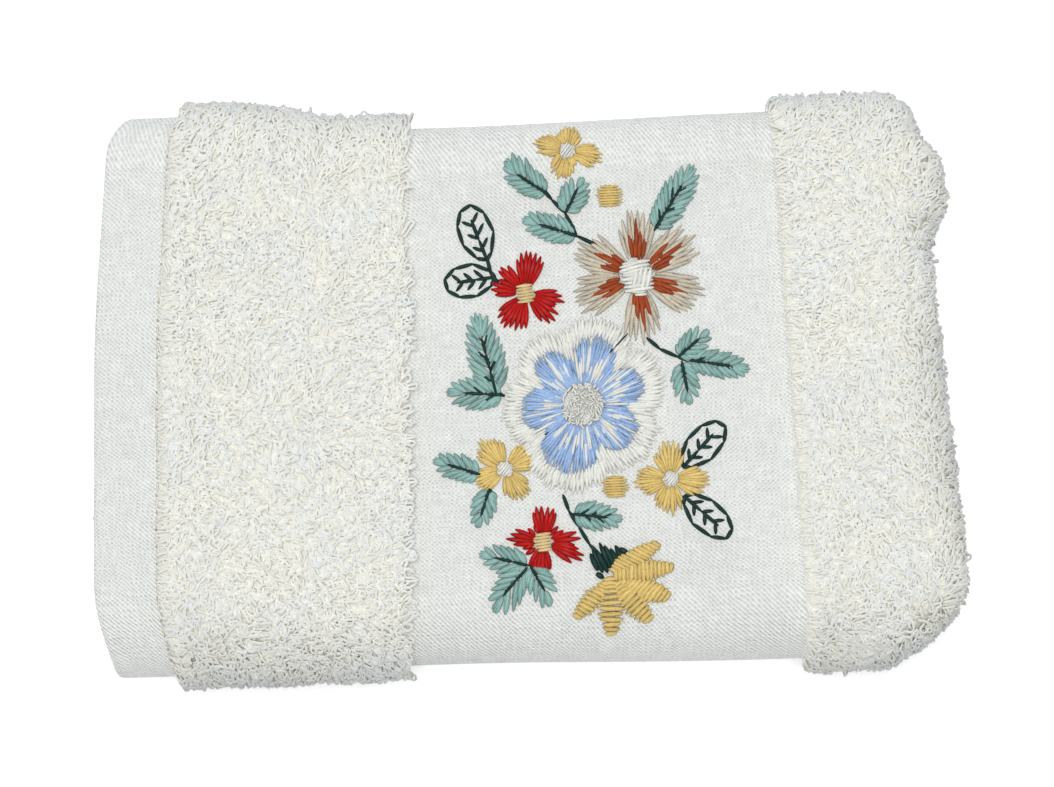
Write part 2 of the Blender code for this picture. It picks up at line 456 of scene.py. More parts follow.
def thread_material(name, colour):
    """Embroidery thread: fine plies along each strand, a soft gloss, tones that vary from stitch to
    stitch, a painted highlight along each strand's crown and painted shade down its sides and in the
    grooves between plies.
    """
    material = cotton("thread " + name, 0.5, 0.03)
    shader_of(material).inputs["Specular IOR Level"].default_value = 0.22
    add = node_adder(material)
    strand = add("SeparateXYZ", Vector=add("UVMap", {"uv_map": "strand"}).outputs[0])
    slant = maths(add, "MULTIPLY", strand.outputs[1], PLY_SLANT)
    turns = maths(add, "MULTIPLY_ADD", strand.outputs[0], PLIES, slant)
    plies = maths(add, "SINE", maths(add, "MULTIPLY", turns, math.tau))
    height = maths(add, "MULTIPLY_ADD", plies, 0.5, 0.5)
    # a painted highlight on each strand's crown, painted shade down its sides
    upward = maths(add, "SINE", maths(add, "MULTIPLY", strand.outputs[0], math.tau))
    crown = maths(add, "POWER", maths(add, "MAXIMUM", upward, 0.0), 1.6)
    tint = add("Attribute", {"attribute_name": "tint"}).outputs["Fac"]
    place = add("TexCoord").outputs["Object"]
    fuzz = add("TexNoise", Vector=place, Scale=1700.0, Detail=2.0).outputs["Fac"]
    # painted light of crown and plies, with each stitch's own tint and a little fuzz
    shade = maths(add, "MULTIPLY_ADD", crown, 0.5, maths(add, "MULTIPLY", height, 0.2))
    shade = maths(add, "MULTIPLY_ADD", tint, 0.22, shade)
    shade = maths(add, "MULTIPLY_ADD", maths(add, "SUBTRACT", fuzz, 0.4), 0.5, shade)
    # a painted shaded copy and a painted lit copy of the thread's colour
    rgb = linear(colour)
    shaded_copy, lit_copy = (tuple(level * value for value in rgb) + (1.0,)
                          for level in (0.14 + 0.4 * min(rgb), min(1.5, 0.98 / max(rgb))))
    return dressed(material, add, colour_mix(add, shade, shaded_copy, lit_copy), height, 0.6, 0.08 * MM)


# ---------------------------------------------------------------- the cloth

def hem_edge(distance):
    """Half the cloth's thickness near an end, which is round."""
    edge = HEM_CLOTH / 2.0
    if distance < edge:
        return max(edge * math.sqrt(1.0 - (1.0 - distance / edge) ** 2), HEM_LIP)
    return edge


def terry_share(along):
    """1 where the cloth has loops, 0 on the hem and on the flat band."""
    left = rise(along, HEM_WIDTH, FIRST_TERRY) - rise(along, BAND_START - BANK, BAND_START)
    return left + rise(along, SECOND_TERRY - BANK, SECOND_TERRY)


def free_share(along, across):
    """1 where nothing presses on the loops: on top, and at the turns down to their middles."""
    top = rise(across, BACK_TURN, BACK_MIDDLE) - rise(across, FRONT_MIDDLE, BOTTOM_START)
    return top * (1.0 - rise(along, 0.5 * (OUTER_TURN + LOWEST_LAYER), LOWEST_LAYER))


def flat_share(along, across):
    """1 on the flat top of the bundle, 0 on its turns."""
    top = (rise(across, BACK_MIDDLE, TOP_START + 2.0 * MM)
           - rise(across, FRONT_TURN - 2.0 * MM, FRONT_MIDDLE))
    return top * (1.0 - rise(along, OUTER_TURN - 3.0 * MM, OUTER_TURN + 5.0 * MM))


def half_thickness(along):
    """Half the pressed cloth's thickness: the hem, the thin flat band and the terry."""
    ends = min(hem_edge(along), hem_edge(CLOTH_LENGTH - along))
    thin = rise(along, BAND_START - BANK, BAND_START) - rise(along, SECOND_TERRY - BANK, SECOND_TERRY)
    return ends + (0.5 * GROUND - ends) * thin


def face_height(along, across):
    """Height of the show face above the cloth's middle."""
    bed = EDGE_BED * free_share(along, across) + (FACE_BED - EDGE_BED) * flat_share(along, across)
    return half_thickness(along) + bed * terry_share(along)


def cloth_rows(line, extra):
    """Distances of the rows of faces, with extra ones where the cloth's thickness changes."""
    return sorted(set(line_steps(line)) | set(extra))


def flat_slab(along_count, across_count):
    """A flat closed slab with its face up: a unit for each row, along +x and across -y."""
    slab = bmesh.new()
    bmesh.ops.create_grid(slab, x_segments=along_count, y_segments=across_count, size=0.5)
    for vert in slab.verts:
        vert.co.x = round((vert.co.x + 0.5) * along_count)
        vert.co.y = round((vert.co.y - 0.5) * across_count)
    raised = bmesh.ops.extrude_face_region(slab, geom=slab.faces[:], use_keep_orig=True)
    for item in raised["geom"]:
        if isinstance(item, bmesh.types.BMVert):
            item.co.z = 1.0
    bmesh.ops.recalc_face_normals(slab, faces=slab.faces[:])
    return slab


def towel_cloth():
    """The woven cloth itself, in one piece, folded along and across."""
    hem_rows = [0.3 * MM, 0.7 * MM, 1.3 * MM, HEM_WIDTH - 1.5 * MM]
    bank_rows = [start + BANK * share for start in (HEM_WIDTH, BAND_START - BANK, SECOND_TERRY - BANK)
                 for share in (0.0, 0.3, 0.6, 1.0)]
    end_rows = [CLOTH_LENGTH - row for row in hem_rows]
    along_rows = cloth_rows(LONG_LINE, hem_rows + bank_rows + end_rows)
    across_rows = cloth_rows(CROSS_LINE, [])
    slab = flat_slab(len(along_rows) - 1, len(across_rows) - 1)
    flat_layer = slab.loops.layers.uv.new("cloth")
    for face in slab.faces:
        for corner in face.loops:
            place = corner.vert.co
            corner[flat_layer].uv = (along_rows[int(place.x)], across_rows[int(-place.y)])
        middle = sum(corner[flat_layer].uv.x for corner in face.loops) / len(face.loops)
        face.material_index = 1 if terry_share(middle) > 0.25 else 0
    for vert in slab.verts:
        along = along_rows[int(vert.co.x)]
        across = across_rows[int(-vert.co.y)]
        face_up = vert.co.z > 0.5
        height = face_height(along, across) if face_up else -half_thickness(along)
        vert.co = cloth_point(along, across, height)
    mesh = bpy.data.meshes.new("towel_cloth")
    slab.to_mesh(mesh)
    slab.free()
    mesh.shade_smooth()
    piece = add_piece("towel_cloth", mesh, [plain_weave(), pile_ground()])
    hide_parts("towel")
    return piece


# ---------------------------------------------------------------- terry loops

YARN_RADIUS = 0.31 * MM
YARN_SIDES = 4
ARCH_STEPS = 3
LOOP_SHAPES = (
    # height, width between the legs, width at the foot as a share, side curl, twist in degrees
    (3.6 * MM, 1.10 * MM, 0.75, 0.14, 20.0),
    (3.1 * MM, 1.35 * MM, 0.60, -0.25, -55.0),
    (3.9 * MM, 0.95 * MM, 0.90, 0.28, 70.0),
    (3.3 * MM, 1.50 * MM, 0.50, 0.15, -80.0),
    (3.7 * MM, 1.05 * MM, 0.70, -0.30, 35.0),
    (3.0 * MM, 1.20 * MM, 0.80, 0.32, 95.0),
    (3.4 * MM, 1.40 * MM, 0.55, -0.15, -60.0),
    (2.8 * MM, 1.60 * MM, 0.60, 0.20, 45.0),
)
TURN_CLOSENESS = 0.75        # 1 would keep the loops as close at the turns as on top
LOOPS_A_PIECE = 4400         # keeps each piece under 200,000 triangles
FACE_LEAN = (48.0, 74.0)     # degrees, where the loops lie flattened on top
EDGE_LEAN = (8.0, 36.0)      # and where they stand out at the turns
LEAN_WAY = 55.0              # degrees from along the towel, the way most loops lie
LEAN_DRIFT = (
    # waves per metre, place in the noise, radians by which it turns the loops' way
    (28.0, (3.1, 7.7, 0.4), 2.2),
    (75.0, (9.2, 1.3, 5.0), 1.5),
)
LOOP_TURN = 0.8              # the spread, in radians, of the loops' own turns
TUFT_HEIGHT = 0.13           # the share by which neighbours stand higher or lower together
TUFT_WAVES = 170.0           # waves per metre of that
SOFT_SHADING = 0.6           # how far a loop is shaded as the cloth under it is
UNDERSIDE = 0.1              # from this much turned away, a loop keeps more of its own shading
STRAY_SPACING = 11.0 * MM
STRAY_REACH = PILE_TOP + 1.1 * MM
TERRY_ZONES = (
    # name, along from, to
    ("left", HEM_WIDTH + 0.8 * MM, BAND_START - 1.0 * MM),
    ("right", SECOND_TERRY - 1.4 * MM, LOWEST_LAYER),
)
FREE_ZONES = (
    # name, across from, to, spacing, how far the loops reach
    ("top", BACK_MIDDLE, FRONT_MIDDLE, 1.0 * MM, PILE_TOP),
    ("back", BACK_TURN, BACK_MIDDLE, 1.4 * MM, 0.9 * PILE_TOP),
    ("front", FRONT_MIDDLE, BOTTOM_START, 1.4 * MM, 0.9 * PILE_TOP),
)
OTHER_FIELDS = (
    # name, along from, to, across from, to, spacing, how far the loops reach
    ("fold_tucked", OUTER_TURN, LOWEST_LAYER, 0.0, BACK_TURN, 1.7 * MM, 2.9 * MM),
    ("fold_bottom", OUTER_TURN, LOWEST_LAYER, BOTTOM_START, CLOTH_WIDTH - 2.5 * MM,
     1.7 * MM, 2.9 * MM),
    ("stray_left_back", FIRST_TERRY, BAND_START - 6.0 * MM, BACK_TURN, TOP_START,
     STRAY_SPACING, STRAY_REACH),
    ("stray_left_front", FIRST_TERRY, BAND_START - 6.0 * MM, FRONT_MIDDLE, BOTTOM_START,
     STRAY_SPACING, STRAY_REACH),
    ("stray_right", SECOND_TERRY, LOWEST_LAYER, BACK_TURN, BOTTOM_START,
     STRAY_SPACING, STRAY_REACH),
    ("end_fold", END_TURN, END_TURN + 4.6 * MM, 0.0, CLOTH_WIDTH, 1.5 * MM, 2.6 * MM),
)


def drawn_out(loop, ring, length):
    """Draw a ring of yarn straight up or down, and give back its new end."""
    drawn = bmesh.ops.extrude_edge_only(loop, edges=ring)
    ends = [item for item in drawn["geom"] if isinstance(item, bmesh.types.BMVert)]
    bmesh.ops.translate(loop, verts=ends, vec=(0.0, 0.0, length))
    return [item for item in drawn["geom"] if isinstance(item, bmesh.types.BMEdge)
            and all(vert in ends for vert in item.verts)]


def yarn_loop(height, width, foot, curl, twist):
    """One standing loop: a leg drawn up, an arch spun over and a leg drawn down."""
    loop = bmesh.new()
    leg = height - 0.5 * width - YARN_RADIUS
    bmesh.ops.create_circle(loop, segments=YARN_SIDES, radius=YARN_RADIUS)
    bmesh.ops.translate(loop, verts=loop.verts[:], vec=(-0.5 * width, 0.0, 0.0))
    ring = drawn_out(loop, loop.edges[:], leg)
    arch = bmesh.ops.spin(loop, geom=ring, cent=(0.0, 0.0, leg), axis=(0.0, 1.0, 0.0),
                          angle=math.pi, steps=ARCH_STEPS)
    ring = [item for item in arch["geom_last"] if isinstance(item, bmesh.types.BMEdge)]
    drawn_out(loop, ring, -leg)
    bmesh.ops.holes_fill(loop, edges=[edge for edge in loop.edges if edge.is_boundary])
    bmesh.ops.recalc_face_normals(loop, faces=loop.faces[:])
    for vert in loop.verts:
        share = max(vert.co.z, 0.0) / height
        vert.co.x *= foot + (1.0 - foot) * min(share * 1.4, 1.0)
        vert.co = Matrix.Rotation(math.radians(twist) * share, 3, "Z") @ vert.co
        vert.co.y += curl * height * share * share
    return shape_arrays(loop)


def frame_at(along, across):
    """Place on the cloth's middle, outward normal and direction along the towel there."""
    reach = 0.5 * MM
    place = cloth_point(along, across, 0.0)
    ahead = (cloth_point(along + reach, across, 0.0) - place).normalized()
    beside = (cloth_point(along, across + reach, 0.0) - place).normalized()
    normal = beside.cross(ahead).normalized()
    return place, normal, ahead


def lean_direction(place, along, rng):
    """The way in which a loop lies, in radians: a slow drift, but along the towel at a border."""
    way = math.radians(LEAN_WAY)
    for waves, shift, turn in LEAN_DRIFT:
        way += turn * noise.noise(place * waves + Vector(shift))
    border = SECOND_TERRY if along > BAND_START else FIRST_TERRY
    inside = rise(along - border, -1.5 * MM, 4.0 * MM)
    return inside * way + rng.gauss(0.0, 0.35 + 0.4 * inside)


def cross_density(across):
    """How much longer the outer face is than the cloth's middle at a place across."""
    turns = ((BACK_TURN, TOP_START, 0.5 * PACKET_PITCH), (FRONT_TURN, BOTTOM_START, PACKET_PITCH))
    for start, end, radius in turns:
        if start < across < end:
            return (radius + 1.5 * LAYER_PITCH + 0.5 * PILE_TOP) / radius
    return 1.0


def long_density(along):
    """The same along the towel, where it folds over at its outer turn."""
    radius = 1.5 * LAYER_PITCH
    return (radius + 0.5 * PILE_TOP) / radius if OUTER_TURN < along < LOWEST_LAYER else 1.0


def paced(start, end, spacing, density):
    """Places from start to end, closer together where the outer face is longer."""
    places = []
    place = start + 0.5 * spacing / density(start + 1e-6)
    while place < end:
        places.append(place)
        place += spacing / density(place) ** TURN_CLOSENESS
    return places


def loop_places(along_ends, across_ends, spacing, rng):
    """Jittered places for one field's loops, about evenly close on the outer face."""
    jitter = 0.42 * spacing
    places = []
    for row, across in enumerate(paced(*across_ends, spacing, cross_density)):
        stagger = 0.25 * spacing * (1.0 if row % 2 else -1.0)
        for along in paced(*along_ends, spacing, long_density):
            places.append((along + stagger + rng.uniform(-jitter, jitter),
                           across + rng.uniform(-jitter, jitter) / cross_density(across)))
    return places


def loop_stand(cloth_frame, along, rng):
    """A loop's lean, and its own axes once it leans the way its neighbours do."""
    place, normal, ahead = cloth_frame
    flatness = rise(normal.z, 0.25, 0.85)
    low, high = (edge + (face - edge) * flatness for edge, face in zip(EDGE_LEAN, FACE_LEAN))
    lean = math.radians(rng.uniform(low, high))
    way = lean_direction(place, along, rng)
    flat = Vector((math.cos(way), math.sin(way), 0.0))
    flat = flat - flat.dot(normal) * normal
    flat = flat.normalized() if flat.length > 0.2 else ahead
    up = (math.cos(lean) * normal + math.sin(lean) * flat).normalized()
    level = up.cross(Vector((0.0, 0.0, 1.0)))
    level = level.normalized() if level.length > 0.05 else up.orthogonal().normalized()
    first = Matrix.Rotation(rng.gauss(0.0, LOOP_TURN), 3, up) @ level
    return lean, np.array([first[:], up.cross(first)[:], up[:]])


def laid_loop(shape, along, across, reach, rng):
    """One loop at its place: what joined_copies takes, and each point's outward direction."""
    cloth_frame = frame_at(along, across)
    place, normal = cloth_frame[:2]
    lean, basis = loop_stand(cloth_frame, along, rng)
    points, triangles = shape
    # how far up the loop each point is, which sets the painted warm shade at its foot
    strand = np.stack([np.zeros(len(points)), points[:, 2] / points[:, 2].max()], axis=1)
    points = points * rng.uniform(0.9, 1.1)
    height = points[:, 2].max() * math.cos(lean) + YARN_RADIUS * math.sin(lean)
    tuft = 1.0 + TUFT_HEIGHT * noise.noise(place * TUFT_WAVES)
    root = place + normal * (reach * tuft * rng.uniform(0.92, 1.06) - height)
    points = points @ basis + np.array(root[:])
    points[:, 2] = np.maximum(points[:, 2], FLOOR_GAP)
    outward = np.tile(normal[:], (len(points), 1))
    return triangles, points, rng.random(), strand, outward


def soften_shading(mesh, outward):
    """Shade thin yarn partly as the cloth faces, as light passes through its fibres.

    Its undersides keep their own shading, or no light at all would reach them.
    """
    normals = np.empty(3 * len(mesh.vertices))
    mesh.vertex_normals.foreach_get("vector", normals)
    normals = normals.reshape(-1, 3)
    facing = np.sum(normals * outward, axis=1, keepdims=True)
    share = SOFT_SHADING * np.clip(1.0 + UNDERSIDE + facing, 0.0, 1.0)
    normals = (1.0 - share) * normals + share * outward
    normals /= np.linalg.norm(normals, axis=1, keepdims=True)
    mesh.normals_split_custom_set_from_vertices(normals.tolist())


def pile_fields():
    """Every field of loops, each in the form of OTHER_FIELDS."""
    fields = [(side + "_" + zone, along_from, along_to, across_from, across_to, spacing, reach)
              for side, along_from, along_to in TERRY_ZONES
              for zone, across_from, across_to, spacing, reach in FREE_ZONES]
    return fields + list(OTHER_FIELDS)


def terry_pile():
    """All the loops, field by field, in pieces that stay small enough."""
    rng = random.Random(20)
    shapes = [yarn_loop(*row) for row in LOOP_SHAPES]
    material = terry_yarn()
    pieces = []
    for field, along_from, along_to, across_from, across_to, spacing, reach in pile_fields():
        places = loop_places((along_from, along_to), (across_from, across_to), spacing, rng)
        copies = [laid_loop(rng.choice(shapes), along, across, reach, rng) for along, across in places]
        for number, first in enumerate(range(0, len(copies), LOOPS_A_PIECE), start=1):
            name = "pile_%s_%d" % (field, number)
            chosen = copies[first:first + LOOPS_A_PIECE]
            mesh = joined_copies(name, chosen)
            soften_shading(mesh, np.concatenate([copy[4] for copy in chosen]))
            pieces.append(add_piece(name, mesh, [material]))
    return pieces


# ---------------------------------------------------------------- sewing

STITCH_SIDES = 6
STITCH_RINGS = 7
THREADS = (
    # thread, colour as red, green and blue out of 255
    ("sage", (134, 168, 162)),
    ("fir", (19, 50, 46)),
    ("gold", (224, 193, 118)),
    ("straw", (255, 226, 164)),
    ("red", (172, 12, 9)),
    ("sand", (192, 181, 162)),
    ("rust", (152, 65, 28)),
    ("sky", (148, 174, 211)),
    ("cream", (250, 249, 240)),
)
BLUE_NOTCH = 4.6 * MM        # how far the blue draws in between two of its lobes
CREAM_NOTCH = 2.2 * MM       # and the cream border
SOLVE_STEPS = 12             # steps in which a place is found from its pixel
LONGEST_STEP = 12.0 * MM
TIP_THINNING = 0.32          # the share by which a strand is thinner at its far end
STRAND_FLATNESS = 0.66       # a strand's height as a share of its width
LEAF_EDGE = (
    # share of the leaf's length, share of its half width, from the base round to the base
    (0, 0),
    (0.10, 0.42),
    (0.44, 1),
    (0.84, 0.86),
    (1.06, 0.30),
    (1.02, -0.42),
    (0.78, -0.92),
    (0.42, -1),
    (0.10, -0.52),
    (0, 0),
)
GOLD_STYLE = ("gold", 1.5 * MM, 1.08 * MM, 0.24)    # thread, inner radius, strand, how pointed
RED_STYLE = ("red", 1.7 * MM, 1.32 * MM, 0.18)
SAND_STYLE = ("sand", 3.6 * MM, 1.22 * MM, 0.12)
INNER_SAND_STYLE = ("sand", 3.4 * MM, 1.1 * MM, 0.05)
GOLD_FLOWERS = (
    # centre in the picture, then petals: aim in degrees, length, half spread in degrees, strands
    ((567, 151), ((84, 5.6 * MM, 42, 9), (166, 7.8 * MM, 22, 8), (196, 4.6 * MM, 12, 3),
                  (-108, 6.6 * MM, 33, 9), (-12, 8.3 * MM, 23, 9), (-60, 4.2 * MM, 16, 4))),
    ((505, 469), ((129, 8.6 * MM, 33, 11), (31, 8.3 * MM, 30, 9),
                  (-57, 8.2 * MM, 31, 10), (-152, 8.1 * MM, 27, 9))),
    ((671, 479), ((95, 8.7 * MM, 32, 9), (-5, 8.9 * MM, 29, 10),
                  (-96, 8.4 * MM, 32, 9), (183, 8.6 * MM, 30, 10))),
)
RED_FLOWERS = (
    ((525.5, 293.5), ((82, 10.2 * MM, 23, 7), (137, 8.8 * MM, 13, 4), (168, 8.4 * MM, 14, 4),
                      (-118, 9.3 * MM, 28, 8), (-42, 9.6 * MM, 17, 5), (-8, 9.2 * MM, 13, 4))),
    ((543.5, 542), ((88, 8.6 * MM, 22, 6), (38, 6.3 * MM, 9, 2), (6, 9.3 * MM, 11, 3),
                    (-23, 9.7 * MM, 12, 4), (-98, 8.2 * MM, 23, 6), (-154, 6.0 * MM, 9, 2),
                    (170, 8.6 * MM, 15, 4), (130, 5.8 * MM, 9, 2))),
)
BERRIES = ((610, 196), (615.5, 486.5))
LEAVES = (
    # base and tip in the picture, half width, pairs of strands, dark veins
    ((546, 193), (504, 162), 3.0 * MM, 7, 0),
    ((566, 212), (583, 177), 3.2 * MM, 6, 0),
    ((576, 236), (522, 219), 3.0 * MM, 7, 0),
    ((655, 229), (694, 165), 3.7 * MM, 9, 4),
    ((496, 393), (475, 313), 3.9 * MM, 9, 4),
    ((502, 395), (446, 392), 3.6 * MM, 7, 3),
    ((679, 356), (709, 330), 2.9 * MM, 5, 0),
    ((690, 360), (750, 369), 2.9 * MM, 8, 2),
    ((682, 363), (690, 405), 3.0 * MM, 5, 0),
    ((479, 474), (433, 460), 2.9 * MM, 6, 0),
    ((489, 490), (477, 528), 2.8 * MM, 5, 0),
    ((574, 514), (623, 519), 3.1 * MM, 6, 5),
    ((527, 565), (479, 554), 3.0 * MM, 6, 0),
    ((526, 569), (493, 612), 3.3 * MM, 6, 0),
    ((531, 567), (551, 606), 3.0 * MM, 5, 0),
)
OUTLINE_LEAVES = (
    # base and tip in the picture, half width
    ((487, 260), (467, 210), 3.65 * MM),
    ((495, 277), (448, 284), 3.6 * MM),
    ((683, 467), (720, 426), 3.35 * MM),
    ((684, 496), (727, 533), 3.25 * MM),
)
STEMS = (
    # places in the picture that the line goes through
    ((541, 187), (552, 200), (565, 213), (577, 236), (600, 247)),
    ((655, 228), (646, 240)),
    ((647, 338), (660, 349), (678, 357), (690, 361)),
    ((487, 258), (491, 274), (499, 284)),
    ((496, 392), (504, 396)),
    ((478, 473), (486, 475)),
    ((490, 489), (492, 496)),
    ((563, 495), (569, 511), (579, 527), (590, 545), (598, 553)),
)
BUD_LOBES = (
    # base and tip in the picture, half width, slant of the strands in degrees
    ((608, 583), (576, 617), 2.2 * MM, -30),
    ((612, 571), (658, 543), 2.5 * MM, -30),
    ((622, 581), (668, 598), 2.5 * MM, 26),
    ((615, 583), (650, 620), 2.6 * MM, 16),
    ((614, 575), (673, 567), 2.5 * MM, 8),
    ((609, 577), (611, 634), 2.8 * MM, 2),
)
CALYX = (
    # lower end of a strand in the picture, its upper end
    ((598, 571), (590, 553)),
    ((603, 573), (592, 548)),
    ((608, 573), (596, 549)),
    ((612, 571), (599, 542)),
    ((616, 568), (604, 545)),
    ((619, 565), (610, 548)),
    ((623, 560), (615, 545)),
    ((628, 553), (619, 548)),
    ((596, 573), (604, 578)),
)
BLUE_CENTRE = (583, 405)
BLUE_LOBES = (
    # aim in degrees, half the lobe's angle, reach of the blue, reach of the cream border
    (77, 28, 15.6 * MM, 19.8 * MM),
    (22, 27, 14.4 * MM, 19.0 * MM),
    (-37, 32, 14.2 * MM, 18.4 * MM),
    (-107, 38, 15.7 * MM, 19.6 * MM),
    (-176, 31, 14.2 * MM, 18.4 * MM),
    (129, 24, 14.8 * MM, 18.8 * MM),
)
LOOSE_STITCHES = (
    # ends in the picture of the thin dark threads that show by the blue flower
    ((628, 333), (614, 348)),
    ((614, 348), (605, 357)),
    ((541, 437), (553, 430)),
    ((580, 352), (582, 356)),
)
SAND_CENTRE = (637, 276)
SAND_PETALS = (
    # aim in degrees, length, half spread in degrees, strands
    (89, 16.0 * MM, 16, 7),
    (35, 15.8 * MM, 20, 9),
    (-21, 15.8 * MM, 20, 9),
    (-84, 15.4 * MM, 17, 7),
    (-157, 15.2 * MM, 20, 9),
    (152, 15.2 * MM, 18, 8),
)
SAND_CENTRE_PADS = (
    # shift in the picture, half length, half height, turn in degrees, strands, lift
    ((5, 1), 2.9 * MM, 2.0 * MM, 78, 4, 1.0 * MM),
    ((-5, -8), 3.0 * MM, 1.2 * MM, 16, 3, 1.05 * MM),
    ((3, 16), 1.7 * MM, 0.9 * MM, 4, 3, 0.8 * MM),
)
HEM_STITCH = 3.8 * MM        # from one needle hole to the next
HEM_SEWING = (
    # piece, its colour, start and end as shares of a step, width, lift, how thin it starts
    ("hem_stitches", (238, 234, 218), 0.16, 0.9, 0.5 * MM, 0.5 * MM, 0.8),
    # the needle holes' tan is painted shade in the holes
    ("hem_needle_hole_shade", (182, 166, 132), -0.1, 0.1, 0.6 * MM, 0.36 * MM, 1.0),
)


def picture_place(point):
    """Where the camera sees a point, in pixels of the picture."""
    scale = (CAMERA_HEIGHT - OUTLINE_HEIGHT) / (CAMERA_HEIGHT - point.z) / PIXEL
    return Vector((PHOTO_WIDTH / 2.0 + (point.x - CAMERA_X) * scale,
                   PHOTO_HEIGHT / 2.0 - (point.y - CAMERA_Y) * scale))


def cloth_place(pixel):
    """How far along and across the towel's face a pixel of the picture lies."""
    height = 0.5 * GROUND
    step = 0.2 * MM
    place = Vector((0.5 * SHOW_RUN, TOP_START + 0.5 * TOP_THIRD))
    for attempt in range(SOLVE_STEPS):
        here = picture_place(cloth_point(place.x, place.y, height))
        ahead = (picture_place(cloth_point(place.x + step, place.y, height)) - here) / step
        beside = (picture_place(cloth_point(place.x, place.y + step, height)) - here) / step
        miss = Vector(pixel) - here
        spread = ahead.cross(beside)
        move = Vector((miss.cross(beside), ahead.cross(miss))) / spread
        place += move * min(1.0, LONGEST_STEP / max(move.length, 1e-9))
        place.y = max(place.y, BACK_MIDDLE + 1.5 * MM)
    return place


def beside_pixel(centre, offset):
    """The cloth's place that the picture shows at an offset, given as a length, from a pixel."""
    return cloth_place(Vector(centre) + offset / PIXEL)


def unit_stitch():
    """A strand from x = 0 to 1 with round ends, one unit wide and high."""
    strand = bmesh.new()
    bmesh.ops.create_uvsphere(strand, u_segments=STITCH_SIDES, v_segments=STITCH_RINGS, radius=1.0)
    for vert in strand.verts:
        share = 0.5 * (1.0 - vert.co.z)
        around = math.atan2(vert.co.y, vert.co.x)
        full = 1.0 if math.hypot(vert.co.x, vert.co.y) > 1e-4 else 0.0
        girth = 0.5 * full * math.sqrt(max(1.0 - abs(2.0 * share - 1.0) ** 4, 0.0))
        vert.co = (share, girth * math.cos(around), girth * math.sin(around))
    bmesh.ops.recalc_face_normals(strand, faces=strand.faces[:])
    return shape_arrays(strand)


def sewn(stitch, shape, rng):
    """One stitch on the cloth, from what lay() has noted."""
    start, end, width, lift, foot = stitch
    points, triangles = shape
    run = end - start
    beside = Vector((-run.y, run.x)).normalized()
    beside.y /= cross_density(start.y)
    rise_up = min(0.06 * run.length, 0.45 * MM)
    placed = []
    for share, out, up in points:
        share = min(max(float(share), 0.0), 1.0)
        girth = width * (foot + (1.0 - foot) * rise(share, 0.0, 0.5))
        girth *= 1.0 - TIP_THINNING * rise(share, 0.6, 1.0)
        spot = start + share * run + float(out) * girth * beside
        height = 0.5 * GROUND + lift + math.sin(math.pi * share) * rise_up
        height += (float(up) + 0.2) * STRAND_FLATNESS * girth
        placed.append(cloth_point(spot.x, spot.y, height)[:])
    around = np.arctan2(points[:, 2], points[:, 1]) / math.tau
    flat = np.stack([around, points[:, 0] * run.length / MM], axis=1)
    return triangles, np.array(placed), rng.random(), flat


def lay(sewing, thread, start, end, width, lift=0.0, foot=0.55):
    """Note a stitch: its ends, its width, its lift over the cloth and how thin it starts."""
    sewing[thread].append((start, end, width, lift, foot))


def polar(radius, degrees):
    """A length in a direction: 0 degrees is to the picture's right, and 90 degrees is up."""
    angle = math.radians(degrees)
    return Vector((radius * math.cos(angle), -radius * math.sin(angle)))


def turned(direction, degrees):
    """A direction turned clockwise, as the picture shows it."""
    angle = math.radians(degrees)
    return Vector((direction.x * math.cos(angle) - direction.y * math.sin(angle),
                   direction.x * math.sin(angle) + direction.y * math.cos(angle)))


def petal(sewing, style, centre, row, rng, lift=0.0):
    """A petal of strands that fan out from near the centre and end along a rounded tip."""
    thread, inner, width, point = style
    aim, length, half_spread, strands = row
    for index in range(strands):
        offset = 2.0 * index / (strands - 1) - 1.0
        reach = length * (1.0 - point * abs(offset) ** 1.7) * rng.uniform(0.92, 1.05)
        start = polar(inner * rng.uniform(0.95, 1.25), aim + 1.3 * offset * half_spread)
        end = polar(reach, aim + offset * half_spread + rng.uniform(-1.5, 1.5))
        lay(sewing, thread, beside_pixel(centre, start), beside_pixel(centre, end),
            width * rng.uniform(0.9, 1.1), lift + rng.uniform(0.0, 0.2) * MM)


def pad(sewing, thread, centre, half_length, half_height, degrees, count, rng,
        lift=0.0, roundness=0.7):
    """A pad of side by side strands: a round one, or a squarer one with less roundness."""
    ahead = polar(1.0, degrees)
    beside = Vector((-ahead.y, ahead.x))
    for index in range(count):
        offset = 2.0 * (index + 0.5) / count - 1.0
        half = half_length * math.sqrt(1.0 - roundness * offset * offset) * rng.uniform(0.9, 1.07)
        middle = offset * half_height * beside + rng.uniform(-0.2, 0.2) * MM * ahead
        lay(sewing, thread, beside_pixel(centre, middle - half * ahead),
            beside_pixel(centre, middle + half * ahead), 2.4 * half_height / count, lift, 0.9)


def back_stitches(sewing, thread, places, width, lift=0.0, longest=4.2 * MM):
    """A line of strands, each a little over the end of the last, through places of the cloth."""
    for start, end in zip(places, places[1:]):
        count = max(1, round((end - start).length / longest))
        for index in range(count):
            first = start.lerp(end, index / count)
            last = start.lerp(end, (index + 1.0) / count)
            overlap = (last - first).normalized() * 0.25 * width
            lay(sewing, thread, first - overlap, last + overlap, width, lift, 0.9)


